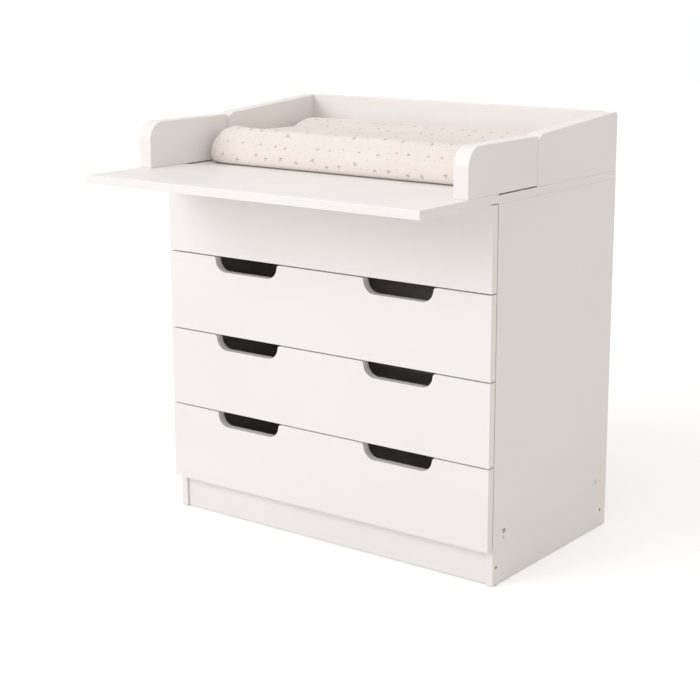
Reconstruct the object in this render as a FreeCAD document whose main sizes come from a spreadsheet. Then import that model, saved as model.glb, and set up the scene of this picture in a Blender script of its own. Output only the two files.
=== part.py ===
import FreeCAD, Part
import Sketcher

import os

# Changing dresser: a four-drawer chest of white board with a changing top.
# Millimetres. +X is the right-hand side, -Y the front, +Z up. The origin lies on the
# floor under the middle of the whole piece, extension board included.

os.makedirs("parts", exist_ok=True)
doc = FreeCAD.newDocument("ChangingDresser")

DRIVING_SIZES = {
    # Chest
    "width": 900,
    "chest_depth": 504,
    "side_board": 16,
    "top_board": 18,
    "glide_rise": 2,
    "glide_radius": 7,
    "glide_inset": 16,
    "shelf_board": 16,
    "shelf_drop": 4,
    "plinth_board": 16,
    "plinth_setback": 6,
    "rail_board": 16,
    "rail_depth": 60,
    "rail_setback": 60,
    "back_sheet": 3,
    "back_inset": 14,
    "back_groove": 6,
    # Drawer fronts, from the lowest one's bottom edge up
    "fronts_base": 84,
    "front_height": 184,
    "front_gap": 3,
    "front_board": 19,
    "front_clearance": 3,
    # Two finger cut-outs in the top edge of each front
    "handle_centre": 214,
    "handle_width": 186,
    "handle_floor": 176,
    "handle_depth": 34,
    "handle_round": 29,
    "handle_flare": 7,
    # Drawer boxes
    "box_lift": 26,
    "box_board": 12,
    "box_height": 120,
    "box_back_gap": 50,
    "bottom_sheet": 4,
    "bottom_rise": 10,
    "bottom_groove": 6,
    # Roller runners of bent steel sheet
    "runner_space": 12.7,
    "runner_sheet": 1.2,
    "runner_gap": 2,
    "runner_setback": 2,
    "channel_drop": 4,
    "channel_rise": 20,
    "channel_notch": 28,
    "roller_play": 0.3,
    "roller_side_play": 2.7,
    "roller_rise": 2.5,
    "roller_boss": 0.6,
    "roller_inset": 12,
    "axle_radius": 3,
    # Changing top
    "overhang": 262,
    "extension_board": 19,
    "extension_lift": 3,
    "wing_board": 36,
    "wing_reach": 94,
    "wing_seam": 175,
    "wing_height": 105,
    "wing_round": 42,
    "rear_wing_front": 110,
    "rear_wing_back": 135,
    "rear_wing_round": 26,
    "rear_wing_corner": 10,
    "back_board": 18,
    # Changing mat
    "mat_clearance": 0.3,
    "mat_side_gap": 14,
    "mat_front_gap": 64,
    "mat_back_gap": 8,
    "mat_bolster": 140,
    "mat_crown": 82,
    "mat_valley": 66,
    "mat_tuck": 12,
    "mat_end": 60,
    # Fasteners
    "screw_head": 3.5,
    "screw_head_depth": 1.5,
    "screw_shank": 2,
    "screw_length": 40,
    "screw_clearance": 0.1,
    "screw_raise": 8,
    "cap_radius": 6,
    "cap_thickness": 0.8,
    "cap_stem": 2.5,
    "cap_stem_length": 8,
    "cap_front_inset": 44,
    "cap_back_inset": 50,
    "slot_width": 1.8,
    "slot_length": 9,
    "slot_depth": 2,
    "slot_drop": 15,
    "dowel_radius": 4,
    "dowel_length": 30,
    "dowel_clearance": 0.05,
    "dowel_inner": 150,
    "dowel_inset": 70,
}
DRAWERS = (1, 2, 3, 4)
SIDES = {"left": -1, "right": 1}

sizes = doc.addObject("Spreadsheet::Sheet", "Sizes")
for row, (alias, number) in enumerate(DRIVING_SIZES.items(), start=1):
    sizes.set(f"A{row}", str(number))
    sizes.setAlias(f"A{row}", alias)
doc.recompute()

# Places worked out from the driving sizes, as expressions on the sheet.
HALF_WIDTH = "(Sizes.width / 2)"
INNER_HALF = f"({HALF_WIDTH} - Sizes.side_board)"
FULL_DEPTH = "(Sizes.overhang + Sizes.front_board + Sizes.front_clearance + Sizes.chest_depth)"
EXTENSION_FRONT = f"(-{FULL_DEPTH} / 2)"
FRONTS_Y = f"({EXTENSION_FRONT} + Sizes.overhang)"
FRONTS_BACK_Y = f"({FRONTS_Y} + Sizes.front_board)"
CHEST_FRONT = f"({FRONTS_BACK_Y} + Sizes.front_clearance)"
CHEST_BACK = f"({FULL_DEPTH} / 2)"
PLINTH_Y = f"({CHEST_FRONT} + Sizes.plinth_setback)"
BACK_SHEET_Y = f"({CHEST_BACK} - Sizes.back_inset - Sizes.back_sheet)"
REAR_PLINTH_Y = f"({BACK_SHEET_Y} - Sizes.plinth_board)"
SHELF_TOP = "(Sizes.fronts_base - Sizes.shelf_drop)"
SHELF_UNDERSIDE = f"({SHELF_TOP} - Sizes.shelf_board)"
SIDE_SCREW_Z = f"((Sizes.glide_rise + {SHELF_UNDERSIDE}) / 2 + Sizes.screw_raise)"
PITCH = "(Sizes.front_height + Sizes.front_gap)"
SIDE_TOP = f"(Sizes.fronts_base + {len(DRAWERS)} * {PITCH} - Sizes.front_gap)"
CHEST_TOP = f"({SIDE_TOP} + Sizes.top_board)"
EXTENSION_TOP = f"({CHEST_TOP} + Sizes.extension_lift)"
EXTENSION_UNDERSIDE = f"({EXTENSION_TOP} - Sizes.extension_board)"
SEAM_Y = f"({FRONTS_Y} + Sizes.wing_seam)"
WING_FRONT = f"({FRONTS_Y} - Sizes.wing_reach)"
BOX_HALF = f"({INNER_HALF} - Sizes.runner_space)"
BOX_INNER_HALF = f"({BOX_HALF} - Sizes.box_board)"
BOX_BACK_Y = f"({BACK_SHEET_Y} - Sizes.box_back_gap)"
BOX_LENGTH = f"({BOX_BACK_Y} - {FRONTS_BACK_Y})"
RUNNER_Y = f"({CHEST_FRONT} + Sizes.runner_setback)"
RUNNER_FLANGE = "(Sizes.runner_space - Sizes.runner_sheet - Sizes.runner_gap)"
ROLLER_RADIUS = "(Sizes.channel_rise / 2 - Sizes.runner_sheet - Sizes.roller_play)"
ROLLER_WIDTH = ("(Sizes.runner_space - 2 * Sizes.runner_sheet - Sizes.roller_boss"
                " - Sizes.roller_side_play)")
CAP_LIFT = "(Sizes.box_lift - Sizes.channel_drop + Sizes.channel_rise / 2)"
CAP_Z = f"(Sizes.fronts_base + {CAP_LIFT})"
CAP_FRONT_Y = f"({CHEST_FRONT} + Sizes.cap_front_inset)"
CAP_BACK_Y = f"({CHEST_BACK} - Sizes.cap_back_inset)"
TOP_DOWEL_Z = f"(({EXTENSION_UNDERSIDE} + {CHEST_TOP}) / 2)"
WING_DOWEL_Z = f"({EXTENSION_TOP} + Sizes.wing_height / 2)"
WING_MIDDLE = f"({HALF_WIDTH} - Sizes.wing_board / 2)"


def value(expression):
    """The number that an expression on the sheet comes to."""
    return float(sizes.evalExpression(expression))


def bind(thing, **expressions):
    """Bind properties of one object to expressions on the sheet."""
    for name, expression in expressions.items():
        thing.setExpression(name, expression)


def place(thing, x, y, z):
    """Put an object's own zero at a place worked out from the sheet."""
    for axis, expression in zip("xyz", (x, y, z)):
        thing.setExpression(f"Placement.Base.{axis}", expression)


def block(label, size, corner):
    """A square-edged board, from its sizes along X, Y and Z and its lowest corner."""
    board = doc.addObject("Part::Box", label)
    bind(board, Length=size[0], Width=size[1], Height=size[2])
    place(board, *corner)
    return board


def rod(label, radius, length, start, direction):
    """A round bar from a start point along a row direction."""
    bar = doc.addObject("Part::Cylinder", label)
    bind(bar, Radius=radius, Height=length)
    bar.Placement.Rotation = FreeCAD.Rotation(FreeCAD.Vector(0, 0, 1), FreeCAD.Vector(*direction))
    place(bar, *start)
    return bar


def joined(label, pieces):
    """Pieces in one node: fused where they touch, separate solids where they don't."""
    union = doc.addObject("Part::MultiFuse", label)
    union.Shapes = pieces
    return union


def carved(label, base, tools):
    """A board with grooves or holes cut by the given tools."""
    result = doc.addObject("Part::Cut", label)
    result.Base = base
    result.Tool = tools[0] if len(tools) == 1 else joined(f"{label}_cuts", tools)
    return result


def outline(body, role, loops):
    """A sketch of closed outlines on one of the body's own planes, every corner bound."""
    sketch = body.newObject("Sketcher::SketchObject", "outline")
    plane = next(item for item in body.Origin.OriginFeatures if item.Role == role)
    sketch.AttachmentSupport = [(plane, "")]
    sketch.MapMode = "FlatFace"
    for corners in loops:
        first = sketch.GeometryCount
        points = [FreeCAD.Vector(value(across), value(up), 0) for across, up in corners]
        ends = points[1:] + points[:1]
        for point, end in zip(points, ends):
            sketch.addGeometry(Part.LineSegment(point, end))
        for number in range(len(corners)):
            after = first + (number + 1) % len(corners)
            sketch.addConstraint(Sketcher.Constraint("Coincident", first + number, 2, after, 1))
        for number, (across, up) in enumerate(corners, start=first):
            hold_corner(sketch, number, "DistanceX", -2, across)
            hold_corner(sketch, number, "DistanceY", -1, up)
    return sketch


def hold_corner(sketch, line, kind, axis, expression):
    """Hold a line's start on an axis, or at a bound distance from the sketch's zero."""
    if expression == "0":
        sketch.addConstraint(Sketcher.Constraint("PointOnObject", line, 1, axis))
        return
    bound = sketch.addConstraint(Sketcher.Constraint(kind, -1, 1, line, 1, value(expression)))
    sketch.setExpression(f"Constraints[{bound}]", expression)


def padded_body(label, role, corners, length, corner):
    """A body padded from one outline towards +X or +Y, its own zero at a lowest corner."""
    body = doc.addObject("PartDesign::Body", label)
    pad = body.newObject("PartDesign::Pad", "pad")
    pad.Profile = outline(body, role, [corners])
    pad.Reversed = role == "XZ_Plane"
    bind(pad, Length=length)
    place(body, *corner)
    doc.recompute()
    return body


def rounded(body, direction, corners, radius):
    """Round the body's edges that run along a direction through the given corner points."""
    base = body.Tip
    names = []
    for number, edge in enumerate(base.Shape.Edges, start=1):
        run = edge.lastVertex().Point - edge.firstVertex().Point
        along = run.Length > 0 and abs(run.normalize().dot(direction)) > 0.999
        if along and any(edge.distToShape(Part.Vertex(corner))[0] < 0.01 for corner in corners):
            names.append(f"Edge{number}")
    fillet = body.newObject("PartDesign::Fillet", "rounding")
    fillet.Base = (base, names)
    bind(fillet, Radius=radius)
    doc.recompute()


def drawer_base(level):
    """The height of a drawer front's bottom edge."""
    return f"(Sizes.fronts_base + {level - 1} * {PITCH})"


def mirrored_corners(corners, span):
    """The same outline turned left to right within its span."""
    return [(f"({span} - ({across}))" if across != span else "0", up) for across, up in corners]


# ---- Chest: two sides, top, shelf, plinths, rail and back sheet ----

def bolt_slot(side, face, inward):
    """The short upright slot with round ends that is milled under the front cap."""
    half = "Sizes.slot_width / 2"
    straight = "(Sizes.slot_length - Sizes.slot_width)"
    middle_z = f"({CAP_Z} - Sizes.slot_drop)"
    low_x = f"({face} - {1 if inward[0] < 0 else 0} * Sizes.slot_depth)"
    flanks = block(f"slot_flanks_{side}", ("Sizes.slot_depth", "Sizes.slot_width", straight),
                   (low_x, f"({CAP_FRONT_Y} - {half})", f"({middle_z} - {straight} / 2)"))
    ends = [rod(f"slot_end_{side}", half, "Sizes.slot_depth",
                (face, CAP_FRONT_Y, f"({middle_z} + {end} * {straight} / 2)"), inward) for end in (-1, 1)]
    return joined(f"bolt_slot_{side}", [flanks, *ends])


def side_panel(side, sign):
    """A side of the chest, grooved for the back sheet and bored for screws and caps."""
    inner = f"({sign} * {INNER_HALF})"
    low_x = f"({inner} - {1 if sign < 0 else 0} * Sizes.side_board)"
    groove_x = f"({inner} - {1 if sign < 0 else 0} * Sizes.back_groove)"
    face = f"({sign} * {HALF_WIDTH})"
    inward = (-sign, 0, 0)
    panel = block(f"side_board_{side}",
                  ("Sizes.side_board", "Sizes.chest_depth", f"({SIDE_TOP} - Sizes.glide_rise)"),
                  (low_x, CHEST_FRONT, "Sizes.glide_rise"))
    cuts = [block(f"side_groove_{side}",
                  ("Sizes.back_groove", "Sizes.back_sheet", f"({SIDE_TOP} - {SHELF_UNDERSIDE})"),
                  (groove_x, BACK_SHEET_Y, SHELF_UNDERSIDE))]
    for screw_y in (f"({PLINTH_Y} + Sizes.plinth_board / 2)",
                    f"({REAR_PLINTH_Y} + Sizes.plinth_board / 2)"):
        start = (face, screw_y, SIDE_SCREW_Z)
        cuts.append(rod(f"side_sink_{side}", "Sizes.screw_head + Sizes.screw_clearance",
                        "Sizes.screw_head_depth", start, inward))
        cuts.append(rod(f"side_bore_{side}", "Sizes.screw_shank + Sizes.screw_clearance",
                        "Sizes.side_board", start, inward))
    for cap_y in (CAP_FRONT_Y, CAP_BACK_Y):
        start = (face, cap_y, CAP_Z)
        cuts.append(rod(f"cap_sink_{side}", "Sizes.cap_radius + Sizes.screw_clearance",
                        "Sizes.cap_thickness", start, inward))
        cuts.append(rod(f"cap_bore_{side}", "Sizes.cap_stem + Sizes.screw_clearance",
                        "Sizes.cap_stem_length + Sizes.screw_clearance", start, inward))
    cuts.append(bolt_slot(side, face, inward))
    return carved(f"side_panel_{side}", panel, cuts)


def plinth(label, y):
    """A plinth board under the shelf, bored in both ends for the side screws."""
    board = block(f"{label}_board",
                  (f"2 * {INNER_HALF}", "Sizes.plinth_board", f"({SHELF_UNDERSIDE} - Sizes.glide_rise)"),
                  (f"-{INNER_HALF}", y, "Sizes.glide_rise"))
    bores = []
    for sign in SIDES.values():
        start = (f"({sign} * {INNER_HALF})", f"({y} + Sizes.plinth_board / 2)", SIDE_SCREW_Z)
        depth = "Sizes.screw_length - Sizes.side_board + Sizes.screw_clearance"
        bores.append(rod(f"{label}_bore", "Sizes.screw_shank + Sizes.screw_clearance",
                         depth, start, (-sign, 0, 0)))
    return carved(label, board, bores)


def top_dowel_places():
    """The X places of the dowels between the extension board and the chest's top."""
    outer = f"({HALF_WIDTH} - Sizes.dowel_inset)"
    return [f"({sign} * {place_x})" for sign in SIDES.values() for place_x in ("Sizes.dowel_inner", outer)]


def dowel_bores(label, x_places, y, z, direction):
    """Bores that take half of each dowel."""
    depth = "Sizes.dowel_length / 2 + Sizes.dowel_clearance"
    return [rod(f"{label}_bore", "Sizes.dowel_radius + Sizes.dowel_clearance", depth, (x, y, z), direction)
            for x in x_places]


def chest():
    """The fixed boards of the chest."""
    top = block("top_board_blank", ("Sizes.width", "Sizes.chest_depth", "Sizes.top_board"),
                (f"-{HALF_WIDTH}", CHEST_FRONT, SIDE_TOP))
    top_bores = dowel_bores("top", top_dowel_places(), CHEST_FRONT, TOP_DOWEL_Z, (0, 1, 0))
    pieces = [side_panel(side, sign) for side, sign in SIDES.items()]
    pieces.append(carved("top_panel", top, top_bores))
    pieces.append(block("shelf",
                        (f"2 * {INNER_HALF}", f"({BACK_SHEET_Y} - {PLINTH_Y})", "Sizes.shelf_board"),
                        (f"-{INNER_HALF}", PLINTH_Y, SHELF_UNDERSIDE)))
    pieces.append(plinth("front_plinth", PLINTH_Y))
    pieces.append(plinth("rear_plinth", REAR_PLINTH_Y))
    pieces.append(block("front_rail",
                        (f"2 * {INNER_HALF}", "Sizes.rail_depth", "Sizes.rail_board"),
                        (f"-{INNER_HALF}", f"({CHEST_FRONT} + Sizes.rail_setback)",
                         f"({SIDE_TOP} - Sizes.rail_board)")))
    pieces.append(block("back_panel",
                        (f"2 * ({INNER_HALF} + Sizes.back_groove)", "Sizes.back_sheet",
                         f"({SIDE_TOP} - {SHELF_UNDERSIDE})"),
                        (f"-({INNER_HALF} + Sizes.back_groove)", BACK_SHEET_Y, SHELF_UNDERSIDE)))
    return pieces


# ---- Fasteners: identical ones share a node ----

def side_screws():
    """Countersunk screws through the sides into the ends of both plinths."""
    pieces = []
    for sign in SIDES.values():
        for screw_y in (f"({PLINTH_Y} + Sizes.plinth_board / 2)",
                        f"({REAR_PLINTH_Y} + Sizes.plinth_board / 2)"):
            start = (f"({sign} * {HALF_WIDTH})", screw_y, SIDE_SCREW_Z)
            inward = (-sign, 0, 0)
            head = rod("screw_head_disc", "Sizes.screw_head", "Sizes.screw_head_depth", start, inward)
            shank = rod("screw_shank_bar", "Sizes.screw_shank", "Sizes.screw_length", start, inward)
            pieces.append(joined("screw", [head, shank]))
    return joined("side_screws", pieces)


def cover_caps():
    """Flush caps over the runner bolts, two in each side."""
    pieces = []
    for sign in SIDES.values():
        for cap_y in (CAP_FRONT_Y, CAP_BACK_Y):
            start = (f"({sign} * {HALF_WIDTH})", cap_y, CAP_Z)
            inward = (-sign, 0, 0)
            disc = rod("cap_disc", "Sizes.cap_radius", "Sizes.cap_thickness", start, inward)
            stem = rod("cap_stem_bar", "Sizes.cap_stem", "Sizes.cap_stem_length", start, inward)
            pieces.append(joined("cap", [disc, stem]))
    return joined("cover_caps", pieces)


def floor_glides():
    """Glides under the bottom edges of both sides, front and back."""
    pieces = []
    for sign in SIDES.values():
        x = f"({sign} * ({HALF_WIDTH} - Sizes.side_board / 2))"
        for y in (f"({CHEST_FRONT} + Sizes.glide_inset)", f"({CHEST_BACK} - Sizes.glide_inset)"):
            pieces.append(rod("glide", "Sizes.glide_radius", "Sizes.glide_rise", (x, y, "0"), (0, 0, 1)))
    return joined("floor_glides", pieces)


def joining_dowels():
    """Dowels from the extension into the chest's top and from wing to wing."""
    half = "Sizes.dowel_length / 2"
    pieces = [rod("top_dowel", "Sizes.dowel_radius", "Sizes.dowel_length",
                  (x, f"({CHEST_FRONT} - {half})", TOP_DOWEL_Z), (0, 1, 0)) for x in top_dowel_places()]
    pieces += [rod("wing_dowel", "Sizes.dowel_radius", "Sizes.dowel_length",
                   (f"({sign} * {WING_MIDDLE})", f"({SEAM_Y} - {half})", WING_DOWEL_Z), (0, 1, 0))
               for sign in SIDES.values()]
    return joined("joining_dowels", pieces)


# ---- Changing top: extension board, four wings and back board ----

def front_wing(side, sign):
    """A level wing on the extension board, with one large round corner at its front."""
    length = f"({SEAM_Y} - {WING_FRONT})"
    low_x = f"({sign} * {WING_MIDDLE} - Sizes.wing_board / 2)"
    corners = [("0", "0"), (length, "0"), (length, "Sizes.wing_height"), ("0", "Sizes.wing_height")]
    body = padded_body(f"wing_body_{side}", "YZ_Plane", corners, "Sizes.wing_board",
                       (low_x, WING_FRONT, EXTENSION_TOP))
    rounded(body, FreeCAD.Vector(1, 0, 0), [FreeCAD.Vector(0, 0, value("Sizes.wing_height"))],
            "Sizes.wing_round")
    bores = dowel_bores(f"wing_{side}", [f"({sign} * {WING_MIDDLE})"], SEAM_Y, WING_DOWEL_Z, (0, -1, 0))
    return carved(f"front_wing_{side}", body, bores)


def rear_wing(side, sign):
    """A wing on the chest's top that rises to the back, with both top corners rounded."""
    length = f"({CHEST_BACK} - {SEAM_Y})"
    low_x = f"({sign} * {WING_MIDDLE} - Sizes.wing_board / 2)"
    corners = [("0", "0"), (length, "0"), (length, "Sizes.rear_wing_back"), ("0", "Sizes.rear_wing_front")]
    body = padded_body(f"rear_wing_body_{side}", "YZ_Plane", corners, "Sizes.wing_board",
                       (low_x, SEAM_Y, CHEST_TOP))
    front_corner = FreeCAD.Vector(0, 0, value("Sizes.rear_wing_front"))
    back_corner = FreeCAD.Vector(0, value(length), value("Sizes.rear_wing_back"))
    rounded(body, FreeCAD.Vector(1, 0, 0), [front_corner], "Sizes.rear_wing_round")
    rounded(body, FreeCAD.Vector(1, 0, 0), [back_corner], "Sizes.rear_wing_corner")
    bores = dowel_bores(f"rear_{side}", [f"({sign} * {WING_MIDDLE})"], SEAM_Y, WING_DOWEL_Z, (0, 1, 0))
    return carved(f"rear_wing_{side}", body, bores)


def changing_top():
    """The extension board, the wings on it and behind it, and the board across the back."""
    extension = block("extension_blank",
                      ("Sizes.width", f"({CHEST_FRONT} - {EXTENSION_FRONT})", "Sizes.extension_board"),
                      (f"-{HALF_WIDTH}", EXTENSION_FRONT, EXTENSION_UNDERSIDE))
    bores = dowel_bores("extension", top_dowel_places(), CHEST_FRONT, TOP_DOWEL_Z, (0, -1, 0))
    pieces = [carved("extension_board", extension, bores)]
    pieces += [front_wing(side, sign) for side, sign in SIDES.items()]
    pieces += [rear_wing(side, sign) for side, sign in SIDES.items()]
    pieces.append(block("back_board",
                        ("(Sizes.width - 2 * Sizes.wing_board)", "Sizes.back_board", "Sizes.rear_wing_back"),
                        (f"-({HALF_WIDTH} - Sizes.wing_board)", f"({CHEST_BACK} - Sizes.back_board)",
                         CHEST_TOP)))
    return pieces


# ---- Drawers: front with finger cut-outs, box, and the slides under the box ----

def drawer_front(level):
    """A full-width front with two finger cut-outs and a groove for the bottom sheet."""
    low_z = drawer_base(level)
    corners = [("0", "0"), ("Sizes.width", "0"), ("Sizes.width", "Sizes.front_height"),
               ("0", "Sizes.front_height")]
    body = padded_body(f"front_body_{level}", "XZ_Plane", corners, "Sizes.front_board",
                       (f"-{HALF_WIDTH}", FRONTS_Y, low_z))
    floor_z = "(Sizes.front_height - Sizes.handle_depth)"
    loops = []
    for sign in SIDES.values():
        centre = f"({HALF_WIDTH} + {sign} * Sizes.handle_centre)"
        loops.append([(f"({centre} - Sizes.handle_width / 2)", "Sizes.front_height"),
                      (f"({centre} - Sizes.handle_floor / 2)", floor_z),
                      (f"({centre} + Sizes.handle_floor / 2)", floor_z),
                      (f"({centre} + Sizes.handle_width / 2)", "Sizes.front_height")])
    pocket = body.newObject("PartDesign::Pocket", "handles")
    pocket.Profile = outline(body, "XZ_Plane", loops)
    pocket.Type = "ThroughAll"
    doc.recompute()
    points = [[FreeCAD.Vector(value(across), 0, value(up)) for across, up in loop] for loop in loops]
    along = FreeCAD.Vector(0, 1, 0)
    rounded(body, along, [point for loop in points for point in loop[1:3]], "Sizes.handle_round")
    rounded(body, along, [point for loop in points for point in (loop[0], loop[3])], "Sizes.handle_flare")
    groove = block(f"front_groove_{level}",
                   (f"2 * ({BOX_INNER_HALF} + Sizes.bottom_groove)", "Sizes.bottom_groove",
                    "Sizes.bottom_sheet"),
                   (f"-({BOX_INNER_HALF} + Sizes.bottom_groove)",
                    f"({FRONTS_BACK_Y} - Sizes.bottom_groove)",
                    f"({low_z} + Sizes.box_lift + Sizes.bottom_rise)"))
    return carved(f"drawer_{level}_front", body, [groove])


def drawer_side(level, side, sign):
    """A side of a drawer box with the groove that holds the bottom sheet."""
    low_z = f"({drawer_base(level)} + Sizes.box_lift)"
    low_x = f"({sign} * {BOX_HALF} - {1 if sign > 0 else 0} * Sizes.box_board)"
    groove_x = f"({sign} * {BOX_INNER_HALF} - {1 if sign < 0 else 0} * Sizes.bottom_groove)"
    board = block(f"box_side_{side}_{level}", ("Sizes.box_board", BOX_LENGTH, "Sizes.box_height"),
                  (low_x, FRONTS_BACK_Y, low_z))
    groove = block(f"box_groove_{side}_{level}",
                   ("Sizes.bottom_groove", BOX_LENGTH, "Sizes.bottom_sheet"),
                   (groove_x, FRONTS_BACK_Y, f"({low_z} + Sizes.bottom_rise)"))
    return carved(f"drawer_{level}_side_{side}", board, [groove])


def drawer_slide(level, side, sign):
    """The bent steel member under a drawer side: foot, upright and riding flange."""
    low_z = f"({drawer_base(level)} + Sizes.box_lift - Sizes.runner_sheet)"
    span = f"(Sizes.box_board + {RUNNER_FLANGE})"
    web_out = "(Sizes.box_board + Sizes.runner_sheet)"
    flange_low = ("(Sizes.channel_rise + Sizes.roller_rise + Sizes.roller_play"
                  " - Sizes.channel_drop + Sizes.runner_sheet)")
    flange_top = f"({flange_low} + Sizes.runner_sheet)"
    corners = [("0", "0"), (web_out, "0"), (web_out, flange_low), (span, flange_low),
               (span, flange_top), ("Sizes.box_board", flange_top),
               ("Sizes.box_board", "Sizes.runner_sheet"), ("0", "Sizes.runner_sheet")]
    low_x = BOX_INNER_HALF
    if sign < 0:
        corners = mirrored_corners(corners, span)
        low_x = f"(-{BOX_HALF} - {RUNNER_FLANGE})"
    return padded_body(f"drawer_{level}_slide_{side}", "XZ_Plane", corners, BOX_LENGTH,
                       (low_x, FRONTS_BACK_Y, low_z))


def drawer(level):
    """One drawer: front, two sides, back, bottom sheet, two slides and their rollers."""
    low_z = f"({drawer_base(level)} + Sizes.box_lift)"
    sheet_z = f"({low_z} + Sizes.bottom_rise)"
    back_z = f"({sheet_z} + Sizes.bottom_sheet)"
    pieces = [drawer_front(level)]
    pieces += [drawer_side(level, side, sign) for side, sign in SIDES.items()]
    pieces.append(block(f"drawer_{level}_back",
                        (f"2 * {BOX_INNER_HALF}", "Sizes.box_board",
                         "(Sizes.box_height - Sizes.bottom_rise - Sizes.bottom_sheet)"),
                        (f"-{BOX_INNER_HALF}", f"({BOX_BACK_Y} - Sizes.box_board)", back_z)))
    pieces.append(block(f"drawer_{level}_bottom",
                        (f"2 * ({BOX_INNER_HALF} + Sizes.bottom_groove)",
                         f"({BOX_LENGTH} + Sizes.bottom_groove)", "Sizes.bottom_sheet"),
                        (f"-({BOX_INNER_HALF} + Sizes.bottom_groove)",
                         f"({FRONTS_BACK_Y} - Sizes.bottom_groove)", sheet_z)))
    pieces += [drawer_slide(level, side, sign) for side, sign in SIDES.items()]
    centre_z = f"({low_z} - Sizes.channel_drop + Sizes.channel_rise / 2)"
    centre_y = f"({BOX_BACK_Y} - Sizes.roller_inset)"
    rollers = [roller(f"({sign} * ({BOX_HALF} + Sizes.runner_sheet))", centre_y, centre_z, sign)
               for sign in SIDES.values()]
    pieces.append(joined(f"drawer_{level}_rollers", rollers))
    return pieces


# ---- Roller runners on the chest's sides ----

def roller(x, y, z, direction):
    """A roller on its rivet, seated on a steel web and standing off it along X."""
    pointing = (direction, 0, 0)
    boss = rod("roller_boss_disc", "Sizes.axle_radius", "Sizes.roller_boss", (x, y, z), pointing)
    start = f"({x} + {direction} * Sizes.roller_boss)"
    wheel = rod("roller_wheel", ROLLER_RADIUS, ROLLER_WIDTH, (start, y, z), pointing)
    return joined("roller", [boss, wheel])


def runner_channel(level, side, sign):
    """A C-shaped channel on a side of the chest, its top flange cut away at the roller."""
    low_z = f"({drawer_base(level)} + Sizes.box_lift - Sizes.channel_drop)"
    span = RUNNER_FLANGE
    sheet = "Sizes.runner_sheet"
    upper = f"(Sizes.channel_rise - {sheet})"
    corners = [("0", "0"), (span, "0"), (span, sheet), (sheet, sheet), (sheet, upper),
               (span, upper), (span, "Sizes.channel_rise"), ("0", "Sizes.channel_rise")]
    low_x = f"(-{INNER_HALF})"
    notch_x = f"({low_x} + {sheet})"
    if sign > 0:
        corners = mirrored_corners(corners, span)
        low_x = f"({INNER_HALF} - {span})"
        notch_x = low_x
    body = padded_body(f"channel_{side}_{level}", "XZ_Plane", corners, BOX_LENGTH,
                       (low_x, RUNNER_Y, low_z))
    notch = block(f"notch_{side}_{level}", (f"({span} - {sheet})", "Sizes.channel_notch", sheet),
                  (notch_x, RUNNER_Y, f"({low_z} + {upper})"))
    return carved(f"runner_{level}_{side}", body, [notch])


def runners():
    """All channels, and the rollers at their front ends that the slides ride on."""
    pieces = [runner_channel(level, side, sign) for level in DRAWERS for side, sign in SIDES.items()]
    rollers = []
    for level in DRAWERS:
        z = (f"({drawer_base(level)} + Sizes.box_lift - Sizes.channel_drop + Sizes.channel_rise"
             f" + Sizes.roller_rise - {ROLLER_RADIUS})")
        for sign in SIDES.values():
            x = f"({sign} * ({INNER_HALF} - Sizes.runner_sheet))"
            rollers.append(roller(x, f"({RUNNER_Y} + Sizes.roller_inset)", z, -sign))
    pieces.append(joined("runner_rollers", rollers))
    return pieces


# ---- Changing mat: soft, with raised front and back edges and drawn-in ends ----

# Points of the mat's outline, as shares of its tuck, its raised edge and its heights.
LOW_BEND = {"tuck": 0.25, "rise": 0.42}
HIGH_BEND = {"bolster": 0.08, "drop": 0.3}
RIDGE_SHARE = 0.32
FALL = {"bolster": 0.72, "rise": 0.5}
# From each end of the mat: how far in each section stands and how much it is drawn in.
END_STEPS = ((0, 0.5), (0.12, 0.25), (0.45, 0.07), (1, 0))


def mat_section(x, low_y, high_y, floor_z, inset):
    """One cross-section of the mat in a YZ plane, drawn in all round by an inset."""
    near = low_y + inset
    far = high_y - inset
    crown = floor_z + value("Sizes.mat_crown") - inset
    valley = floor_z + value("Sizes.mat_valley") - inset
    bolster = value("Sizes.mat_bolster")
    tuck = value("Sizes.mat_tuck")
    waist = (floor_z + crown) / 2

    def half(edge, inward):
        """The arcs from the bottom, round the edge and over the raised part to the middle."""
        foot = FreeCAD.Vector(x, edge + inward * tuck, floor_z)
        side = FreeCAD.Vector(x, edge, waist)
        ridge = FreeCAD.Vector(x, edge + inward * bolster * RIDGE_SHARE, crown)
        dip = FreeCAD.Vector(x, edge + inward * bolster, valley)
        low_bend = FreeCAD.Vector(x, edge + inward * tuck * LOW_BEND["tuck"],
                                  floor_z + (waist - floor_z) * LOW_BEND["rise"])
        high_bend = FreeCAD.Vector(x, edge + inward * bolster * HIGH_BEND["bolster"],
                                   crown - (crown - waist) * HIGH_BEND["drop"])
        fall = FreeCAD.Vector(x, edge + inward * bolster * FALL["bolster"],
                              valley + (crown - valley) * FALL["rise"])
        return [(foot, low_bend, side), (side, high_bend, ridge), (ridge, fall, dip)]

    front = half(near, 1)
    back = half(far, -1)
    edges = [Part.Arc(*points).toShape() for points in front]
    edges.append(Part.makeLine(front[-1][2], back[-1][2]))
    edges += [Part.Arc(*reversed(points)).toShape() for points in reversed(back)]
    edges.append(Part.makeLine(back[0][0], front[0][0]))
    return Part.Wire(edges)


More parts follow.
